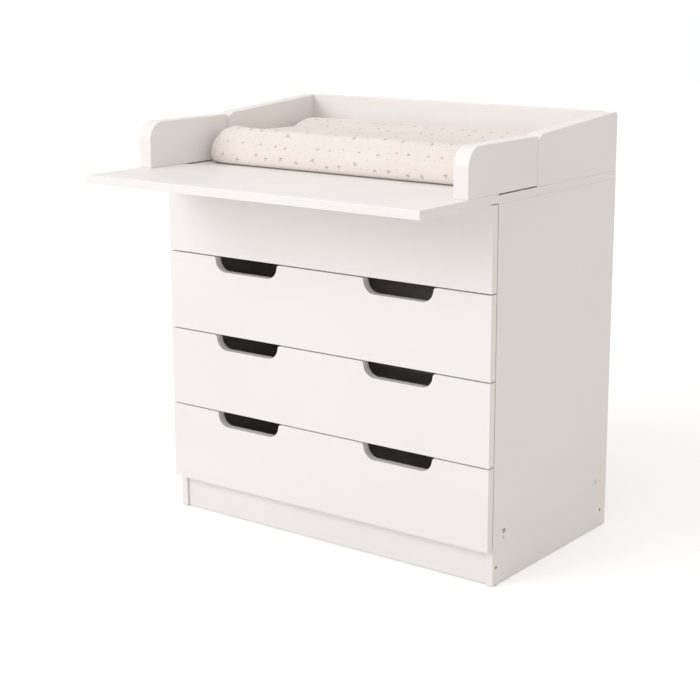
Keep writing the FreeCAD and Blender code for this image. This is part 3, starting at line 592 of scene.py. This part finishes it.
MAT_VOXEL = 0.0062
MAT_TUCK_IN = Vector((0.002, 0.002, 0.004))
MAT_PRESSURE = 4.0
MAT_SWELL = 0.013
CLOTH_FRAMES = 20
HELD_HEIGHT = 0.055
COVER_EASE_LOW = np.array((0.001, 0.008, 0))
COVER_EASE_HIGH = np.array((0.001, 0.003, -0.0020))
COVER_RISE = 0.003
END_FILL = 0.30
END_REACH = 0.065
END_ROUND = 1.5
SEAM_INSET = 0.014
SEAM_DEPTH = 0.0026
SEAM_DRAW = 0.006
PUCKER = 55.0
PUCKER_EVEN = 0.8
PUCKER_RANGE = 0.7
WRINKLE_LIFT = 0.0011
WRINKLE_REACH = 0.09
WRINKLE_FOOT = 0.010
WRINKLE_BASE = 0.25
WRINKLE_RUN = (9, 26, 30)
SAG_LIFT = 0.0016
SAG_RUN = (5, 7)
SAG_START = 7
UNDERCUT = 0.012
UNDERCUT_RISE = 0.0055
UNDERCUT_REACH = 0.06

mat_low, mat_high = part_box("changing_mat")
mat_middle = (mat_low + mat_high) / 2
mat_half = (mat_high - mat_low) / 2


def points_of(mesh):
    """The points of a mesh as rows of x, y and z."""
    points = np.empty(len(mesh.vertices) * 3)
    mesh.vertices.foreach_get("co", points)
    return points.reshape(-1, 3)


def move_points(mesh, points):
    """Put the points of a mesh where the rows say."""
    mesh.vertices.foreach_set("co", points.ravel())
    mesh.update()


def remeshed(piece, voxel):
    """Make the piece's mesh anew, as even quads."""
    even = piece.modifiers.new("even_quads", "REMESH")
    even.mode = "VOXEL"
    even.voxel_size = voxel
    even.use_smooth_shade = True
    mesh = shaped(piece)
    piece.modifiers.clear()
    piece.data = mesh


def filled(piece):
    """Blow the cover out against its filling, and hold how far each point may move."""
    rest = points_of(piece.data)
    cloth = piece.modifiers.new("cover_cloth", "CLOTH")
    cloth.settings.quality = 5
    cloth.settings.mass = 0.3
    cloth.settings.tension_stiffness = 15
    cloth.settings.compression_stiffness = 15
    cloth.settings.bending_stiffness = 0.4
    cloth.settings.use_pressure = True
    cloth.settings.uniform_pressure_force = MAT_PRESSURE
    cloth.settings.effector_weights.gravity = 0
    cloth.point_cache.frame_start = 1
    cloth.point_cache.frame_end = CLOTH_FRAMES
    scene = bpy.context.scene
    for number in range(1, CLOTH_FRAMES + 1):
        scene.frame_set(number)
    step = points_of(shaped(piece)) - rest
    piece.modifiers.clear()
    scene.frame_set(1)
    length = np.linalg.norm(step, axis=1, keepdims=True)
    step *= np.minimum(1, MAT_SWELL / np.maximum(length, 1e-9))
    step *= np.clip((rest[:, 2:] - mat_low.z) / HELD_HEIGHT, 0, 1) ** 2
    move_points(piece.data, rest + step)


def fitted(piece, low, high):
    """Draw the filled cover out again, so that it takes up the space between two corners."""
    points = points_of(piece.data)
    least, most = points.min(axis=0), points.max(axis=0)
    move_points(piece.data, low + (points - least) / (most - least) * (high - low))


def nearness(distance, edge, reach):
    """How close a distance comes to an edge: 0 further in than the reach, and 1 at the edge."""
    return min(1.0, max(0.0, (distance - edge) / reach + 1))


mat_shape = bmesh.new()
mat_shape.from_mesh(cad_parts["changing_mat"].data)
bmesh.ops.remove_doubles(mat_shape, verts=mat_shape.verts, dist=WELD_REACH)
for vertex in mat_shape.verts:
    vertex.co.x = mat_middle.x + (vertex.co.x - mat_middle.x) * (1 - MAT_TUCK_IN.x / mat_half.x)
    vertex.co.y = mat_middle.y + (vertex.co.y - mat_middle.y) * (1 - MAT_TUCK_IN.y / mat_half.y)
    vertex.co.z = mat_low.z + (vertex.co.z - mat_low.z) * (1 - MAT_TUCK_IN.z / (2 * mat_half.z))
cover_mesh = bpy.data.meshes.new("mat_cover")
mat_shape.to_mesh(cover_mesh)
mat_shape.free()
mat_cover = placed("mat_cover", cover_mesh)
remeshed(mat_cover, MAT_VOXEL)
filled(mat_cover)
fitted(mat_cover, np.array(mat_low) + COVER_EASE_LOW, np.array(mat_high) - COVER_EASE_HIGH)

# The ends stand up full, the cloth wrinkles and sags, the foot draws in under the mat, and the
# end seams pull a puckered groove into the cover.
seam_x = mat_half.x - SEAM_INSET
cover_normals = [vertex.normal.copy() for vertex in mat_cover.data.vertices]
for vertex, outward in zip(mat_cover.data.vertices, cover_normals):
    point = vertex.co
    from_middle = abs(point.x - mat_middle.x)
    edge_share = nearness(from_middle, mat_half.x, WRINKLE_REACH)
    end_share = nearness(from_middle, mat_half.x, END_REACH)
    point.z += (point.z - mat_low.z) * END_FILL * end_share ** END_ROUND
    pull = noise.noise(Vector([way * run for way, run in zip(point, WRINKLE_RUN)]))
    sag = noise.noise(Vector((point.x * SAG_RUN[0] + SAG_START, point.y * SAG_RUN[1], 0)))
    if point.z > mat_low.z + WRINKLE_FOOT:
        point.z += WRINKLE_LIFT * pull * (WRINKLE_BASE + edge_share) + SAG_LIFT * sag
    under = max(0.0, 1 - (point.z - mat_low.z) / UNDERCUT_RISE)
    for axis in (0, 1):
        outer = point[axis] - mat_middle[axis]
        near_edge = nearness(abs(outer), mat_half[axis], UNDERCUT_REACH)
        point[axis] -= math.copysign(UNDERCUT * under * near_edge, outer)
    pucker = noise.noise(Vector((0, point.y * PUCKER, point.z * PUCKER)))
    drawn = SEAM_DEPTH * (PUCKER_EVEN + PUCKER_RANGE * pucker)
    point -= outward * drawn * math.exp(-((from_middle - seam_x) / SEAM_DRAW) ** 2)
    point.z = min(mat_high.z + COVER_RISE, max(mat_low.z, point.z))
    point.x = min(mat_high.x, max(mat_low.x, point.x))
    point.y = min(mat_high.y, max(mat_low.y, point.y))

# The cover's cloth is measured round the mat, so the print runs over its edges as cut cloth
# does. Each pair is a step in from the mat's edge and a height over its underside.
HALF_SECTION = ((0.012, 0), (0.003, 0.015), (0, 0.037), (0.009, 0.063), (0.030, 0.079), (0.045, 0.0826),
                (0.080, 0.079), (0.110, 0.071), (0.140, 0.066))
END_SLACK = 0.006

front_run = [(mat_low.y + inward, mat_low.z + rise) for inward, rise in HALF_SECTION]
rear_run = [(mat_high.y - inward, mat_low.z + rise) for inward, rise in reversed(HALF_SECTION)]
underside = (mat_middle.y, mat_low.z)
section = np.array([underside, *front_run, *rear_run, underside])
starts, runs = section[:-1], np.diff(section, axis=0)
lengths = np.linalg.norm(runs, axis=1)
before = np.concatenate(([0], np.cumsum(lengths)))[:-1]
cover_points = points_of(mat_cover.data)
offset = cover_points[:, None, 1:] - starts[None]
share = np.clip((offset * runs).sum(2) / lengths ** 2, 0, 1)
gaps = np.linalg.norm(offset - share[..., None] * runs, axis=2)
nearest = gaps.argmin(1)
rows = np.arange(len(nearest))
round_mat = before[nearest] + share[rows, nearest] * lengths[nearest]
over_end = np.maximum(0, gaps[rows, nearest] - END_SLACK)
along_mat = cover_points[:, 0] + np.sign(cover_points[:, 0]) * over_end
corners = np.empty(len(mat_cover.data.loops), dtype=np.int32)
print_map = mat_cover.data.uv_layers.new(name="cloth")
mat_cover.data.loops.foreach_get("vertex_index", corners)
spots = np.column_stack((along_mat, round_mat))[corners].astype(np.float32)
print_map.data.foreach_set("uv", spots.ravel())

# The print: each leaf of a sprig is an oval with its centre, turn, length and width. A print
# has its leaves, the room for one sprig, its scatter, the share of sprigs kept, the strength
# of its ink, and the chances between which it turns from its first ink to its second.
COTTON = (0.845, 0.790, 0.738, 1)
COTTON_DEEP = (0.812, 0.750, 0.692, 1)
SPRIG_GREY = (0.235, 0.195, 0.185, 1)
SPRIG_ROSE = (0.500, 0.330, 0.285, 1)
BIG_SPRIG = (((0.0026, 0.0012), 0.65, 0.0030, 0.0012), ((-0.0026, 0.0012), 2.49, 0.0030, 0.0012),
             ((0, -0.0020), 1.57, 0.0034, 0.0005), ((0.0018, -0.0028), 0.35, 0.0019, 0.0008),
             ((0, 0.0036), 0, 0.0011, 0.0011))
SMALL_SPRIG = (((0.0013, 0.0006), 0.7, 0.0016, 0.0007), ((-0.0013, 0.0006), 2.44, 0.0016, 0.0007))
DOT = (((0, 0), 0, 0.0009, 0.0009),)
PRINTS = ((DOT, 0.017, 0.90, 0.75, 0.26, (0.45, 0.55), SPRIG_ROSE, SPRIG_GREY),
          (SMALL_SPRIG, 0.025, 0.75, 0.85, 0.42, (0.20, 0.26), SPRIG_ROSE, SPRIG_GREY),
          (BIG_SPRIG, 0.044, 0.50, 0.90, 0.75, (0.88, 0.92), SPRIG_GREY, SPRIG_ROSE))
LEAF_EDGE = (1.12, 0.88)
FULL_TURN = 6.28
KEPT_EDGE = 0.01
COTTON_CLOUD = 11.0
THREAD_PITCH = 0.0007
THREAD_DEPTH = 0.00010
CREASE_SCALE = 45.0
CREASE_DEPTH = 0.0006

cotton, tree, shader, place = new_finish("sprigged_cotton")
cloth = finish_node(tree, "ShaderNodeUVMap", uv_map="cloth").outputs[0]


def leaf(tree, spot, centre, turn, length, width):
    """One leaf of a sprig: an oval at a centre, turned, with soft printed edges."""
    moved = finish_node(tree, "ShaderNodeVectorMath", {0: spot, 1: (*centre, 0)}, operation="SUBTRACT")
    turned = finish_node(tree, "ShaderNodeVectorRotate", {"Vector": moved.outputs[0], "Angle": -turn},
                         rotation_type="Z_AXIS")
    scaled = finish_node(tree, "ShaderNodeVectorMath",
                         {0: turned.outputs[0], 1: (1 / length, 1 / width, 0)}, operation="MULTIPLY")
    size = finish_node(tree, "ShaderNodeVectorMath", {0: scaled.outputs[0]}, operation="LENGTH")
    return spread(tree, size.outputs["Value"], *LEAF_EDGE)


def sprigs(tree, cloth, pitch, scatter, leaves, kept):
    """Scattered sprigs of leaves, one in each cell of the cloth, turned at random."""
    cells = finish_node(tree, "ShaderNodeTexVoronoi",
                        {"Vector": cloth, "Scale": 1 / pitch, "Randomness": scatter}, voronoi_dimensions="2D")
    spot = finish_node(tree, "ShaderNodeVectorMath", {0: cloth, 1: cells.outputs["Position"]},
                       operation="SUBTRACT").outputs[0]
    chance = finish_node(tree, "ShaderNodeSeparateColor", {0: cells.outputs["Color"]})
    turn = combined(tree, "MULTIPLY", chance.outputs[0], FULL_TURN)
    turned = finish_node(tree, "ShaderNodeVectorRotate", {"Vector": spot, "Angle": turn},
                         rotation_type="Z_AXIS").outputs[0]
    shape = None
    for oval in leaves:
        mask = leaf(tree, turned, *oval)
        shape = mask if shape is None else combined(tree, "MAXIMUM", shape, mask)
    shown = spread(tree, chance.outputs[1], kept - KEPT_EDGE, kept, 1, 0)
    return combined(tree, "MULTIPLY", shape, shown), chance.outputs[2]


cloudy = spread(tree, grain(tree, place, COTTON_CLOUD, 3.0), *NOISE_BODY)
ground = tint(tree, cloudy, COTTON, COTTON_DEEP)
for leaves, pitch, scatter, kept, strength, ink_turn, first_ink, second_ink in PRINTS:
    printed, ink_chance = sprigs(tree, cloth, pitch, scatter, leaves, kept)
    ink = tint(tree, spread(tree, ink_chance, *ink_turn), first_ink, second_ink)
    ground = tint(tree, combined(tree, "MULTIPLY", printed, strength), ground, ink)
tree.links.new(ground, shader.inputs["Base Color"])
threads = combined(tree, "ADD", *waves(tree, cloth, THREAD_PITCH, ("X", "Y")))
weave = relief(tree, threads, THREAD_DEPTH, 0.5)
creases = relief(tree, grain(tree, place, CREASE_SCALE, 4.0), CREASE_DEPTH, 0.35, weave)
tree.links.new(creases, shader.inputs["Normal"])
shader.inputs["Roughness"].default_value = 0.86
shader.inputs["Sheen Weight"].default_value = 0.25
shader.inputs["Sheen Roughness"].default_value = 0.5
shader.inputs["Specular IOR Level"].default_value = 0.25
mat_cover.data.materials.clear()
mat_cover.data.materials.append(cotton)
soft = mat_cover.modifiers.new("soft_surface", "SUBSURF")
soft.levels = 1
soft.render_levels = 1
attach(mat_cover, "mat")
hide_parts("changing_mat")

# A round welt is sewn in along both end seams, with a row of stitches beside it.
WELT_SIZES = {"Welt Radius": 0.0024, "Welt Step": 0.0040}
STITCH_SIZES = {"Stitch Pitch": 0.0052, "Stitch Length": 0.0034, "Stitch Radius": 0.0004}
STITCH_INSET = 0.0050
WELT_TONE = (0.900, 0.862, 0.820, 1)
WELT_DEEP = (0.850, 0.802, 0.752, 1)
WELT_SCALE = 900.0
THREAD_TONE = (0.905, 0.880, 0.840, 1)
THREAD_DEEP = (0.790, 0.755, 0.705, 1)
THREAD_SCALE = 2600.0
STRAND_STRETCH = (1, 1, 0.4)
STRAND_DEPTH = 0.0001
WELT_SIDES = 12
BEAD_SIDES = 8
BEAD_RINGS = 6


def twisted(name, tone, deep_tone, scale):
    """Spun cotton: a fine slant of light and dark thread."""
    finish, tree, shader, place = new_finish(name)
    strands = spread(tree, grain(tree, place, scale, 2.0, STRAND_STRETCH), *NOISE_MIDDLE)
    tree.links.new(tint(tree, strands, tone, deep_tone), shader.inputs["Base Color"])
    tree.links.new(relief(tree, strands, STRAND_DEPTH, 0.6), shader.inputs["Normal"])
    shader.inputs["Roughness"].default_value = 0.85
    shader.inputs["Specular IOR Level"].default_value = 0.2
    return finish


def seam_lines(name, piece, reach):
    """The closed lines where upright planes cut the cover near both ends, as a mesh of edges."""
    lines = bmesh.new()
    for sign in HANDS.values():
        shape = bmesh.new()
        shape.from_mesh(piece.data)
        cut = bmesh.ops.bisect_plane(shape, geom=[*shape.verts, *shape.edges, *shape.faces],
                                     plane_co=(mat_middle.x + sign * reach, 0, 0), plane_no=(1, 0, 0))
        twins = {}
        for item in cut["geom_cut"]:
            if isinstance(item, bmesh.types.BMVert):
                twins[item] = lines.verts.new(item.co)
        for item in cut["geom_cut"]:
            if isinstance(item, bmesh.types.BMEdge):
                lines.edges.new([twins[corner] for corner in item.verts])
        shape.free()
    mesh = bpy.data.meshes.new(name)
    lines.to_mesh(mesh)
    lines.free()
    return mesh


welt_cotton = twisted("welt_cotton", WELT_TONE, WELT_DEEP, WELT_SCALE)
welt_tree, welt_keys, welt_sizes, welt_join = tree_of_sizes("end_welts", WELT_SIZES, welt_cotton)
welt_line = finish_node(welt_tree, "GeometryNodeMeshToCurve", {"Mesh": welt_sizes["Geometry"]})
welt_even = finish_node(welt_tree, "GeometryNodeResampleCurve",
                        {"Curve": welt_line.outputs[0], "Length": welt_sizes["Welt Step"]}, mode="LENGTH")
welt_round = finish_node(welt_tree, "GeometryNodeCurvePrimitiveCircle",
                         {"Resolution": WELT_SIDES, "Radius": welt_sizes["Welt Radius"]}, mode="RADIUS")
welt = finish_node(welt_tree, "GeometryNodeCurveToMesh",
                   {"Curve": welt_even.outputs[0], "Profile Curve": welt_round.outputs[0]})
welt_tree.links.new(welt.outputs[0], welt_join)
made_by("mat_welts", seam_lines("welt_lines", mat_cover, seam_x), welt_tree, welt_keys, WELT_SIZES,
        "mat", "mat_cover")

thread = twisted("sewing_thread", THREAD_TONE, THREAD_DEEP, THREAD_SCALE)
stitch_tree, stitch_keys, stitch_sizes, stitch_join = tree_of_sizes("seam_stitches", STITCH_SIZES, thread)
stitch_line = finish_node(stitch_tree, "GeometryNodeMeshToCurve", {"Mesh": stitch_sizes["Geometry"]})
stitch_points = finish_node(stitch_tree, "GeometryNodeCurveToPoints",
                            {"Curve": stitch_line.outputs[0], "Length": stitch_sizes["Stitch Pitch"]},
                            mode="LENGTH")
along = finish_node(stitch_tree, "FunctionNodeAlignRotationToVector",
                    {"Vector": stitch_points.outputs["Tangent"]}, axis="Z")
bead = finish_node(stitch_tree, "GeometryNodeMeshUVSphere",
                   {"Segments": BEAD_SIDES, "Rings": BEAD_RINGS, "Radius": stitch_sizes["Stitch Radius"]})
slender = combined(stitch_tree, "DIVIDE", stitch_sizes["Stitch Length"], stitch_sizes["Stitch Radius"])
stretch = finish_node(stitch_tree, "ShaderNodeCombineXYZ",
                      {"X": 1.0, "Y": 1.0, "Z": combined(stitch_tree, "MULTIPLY", slender, 0.5)})
stitch = finish_node(stitch_tree, "GeometryNodeTransform",
                     {"Geometry": bead.outputs[0], "Scale": stretch.outputs[0]})
stitches = finish_node(stitch_tree, "GeometryNodeInstanceOnPoints",
                       {"Points": stitch_points.outputs["Points"], "Instance": stitch.outputs[0],
                        "Rotation": along.outputs[0]})
stitch_tree.links.new(stitches.outputs[0], stitch_join)
made_by("mat_stitches", seam_lines("stitch_lines", mat_cover, seam_x - STITCH_INSET), stitch_tree,
        stitch_keys, STITCH_SIZES, "mat", "mat_cover")

# ---- Room ----
# A plain white floor runs out of the picture under an even white sky, so the chest stands in
# a light studio and keeps only its own soft shadow.

PAPER_TONE = (0.90, 0.90, 0.90, 1)
SKY_TINT = (1, 0.960, 0.915, 1)
WHITE = (1, 1, 1, 1)
FLOOR_REACH = 14.0
SHADOW_REACH = 1.1
SHADOW_FADE = 2.5
NEAR_GLOW = 0.27
FAR_GLOW = 0.42
SKY_LEVEL = 0.70


def seen_rays(tree):
    """1 for the rays that look at a surface, and 0 for those that only carry its light."""
    rays = finish_node(tree, "ShaderNodeLightPath")
    looking = combined(tree, "MAXIMUM", rays.outputs["Is Camera Ray"], rays.outputs["Is Glossy Ray"])
    return combined(tree, "MAXIMUM", looking, rays.outputs["Is Transmission Ray"])


floor_mesh = bpy.data.meshes.new("studio_floor")
floor_corners = [(x * FLOOR_REACH, y * FLOOR_REACH, 0) for x, y in ((-1, -1), (1, -1), (1, 1), (-1, 1))]
floor_mesh.from_pydata(floor_corners, [], [(0, 1, 2, 3)])
floor = placed("studio_floor", floor_mesh)
paper, tree, shader, place = new_finish("studio_paper")
shader.inputs["Base Color"].default_value = PAPER_TONE
shader.inputs["Roughness"].default_value = 0.9
shader.inputs["Specular IOR Level"].default_value = 0.1
away = finish_node(tree, "ShaderNodeVectorMath", {0: place}, operation="LENGTH").outputs["Value"]
glow_level = spread(tree, away, SHADOW_REACH, SHADOW_FADE * SHADOW_REACH, NEAR_GLOW, FAR_GLOW)
glow = finish_node(tree, "ShaderNodeEmission",
                   {"Color": WHITE, "Strength": combined(tree, "MULTIPLY", seen_rays(tree), glow_level)})
lit = finish_node(tree, "ShaderNodeAddShader", {0: shader.outputs[0], 1: glow.outputs[0]})
tree.links.new(lit.outputs[0], tree.nodes["Material Output"].inputs["Surface"])
floor_mesh.materials.append(paper)

sky = bpy.data.worlds.new("studio_sky")
sky.use_nodes = True
bpy.context.scene.world = sky
tree = sky.node_tree
background = tree.nodes["Background"]
seen = seen_rays(tree)
tree.links.new(spread(tree, seen, 0, 1, SKY_LEVEL, 1.0), background.inputs["Strength"])
tree.links.new(tint(tree, seen, SKY_TINT, WHITE), background.inputs["Color"])

# ---- Lights ----
# One broad soft lamp stands high at the front left and lights the drawer fronts. A weaker one
# hangs over the changing top and fills the right side.

LAMP_TINT = (0.920, 0.939, 1)


def soft_light(name, power, size, stand, aim):
    """A square soft lamp at a stand, aimed at a point."""
    lamp = bpy.data.lights.new(name, "AREA")
    lamp.energy = power
    lamp.size = size
    lamp.color = LAMP_TINT
    light = placed(name, lamp)
    light.location = stand
    light.rotation_euler = (Vector(aim) - Vector(stand)).to_track_quat("-Z", "Y").to_euler()


soft_light("front_light", power=334, size=4.8, stand=(-4.0, -7.2, 4.5), aim=(0, 0, 0.5))
soft_light("top_light", power=12.7, size=2.0, stand=(0.6, -0.6, 3.4), aim=(0, 0, 0.8))

# ---- Camera ----
# A long lens stands at the front right, a little above the top, and looks down at the chest.
# The dip and the turn are in degrees.

SENSOR_WIDTH = 36
LENS_LENGTH = 81.27
LENS_SHIFT = (-0.02, -0.0601)
CAMERA_STAND = (2.1284, -2.8326, 1.2971)
CAMERA_DIP = 12.111
CAMERA_TURN = 36.579

lens = bpy.data.cameras.new("studio_camera")
lens.sensor_width = SENSOR_WIDTH
lens.lens = LENS_LENGTH
lens.shift_x, lens.shift_y = LENS_SHIFT
camera = placed("studio_camera", lens)
camera.location = CAMERA_STAND
camera.rotation_euler = (math.radians(90 - CAMERA_DIP), 0, math.radians(CAMERA_TURN))
bpy.context.scene.camera = camera
bpy.context.scene.view_settings.view_transform = "Standard"
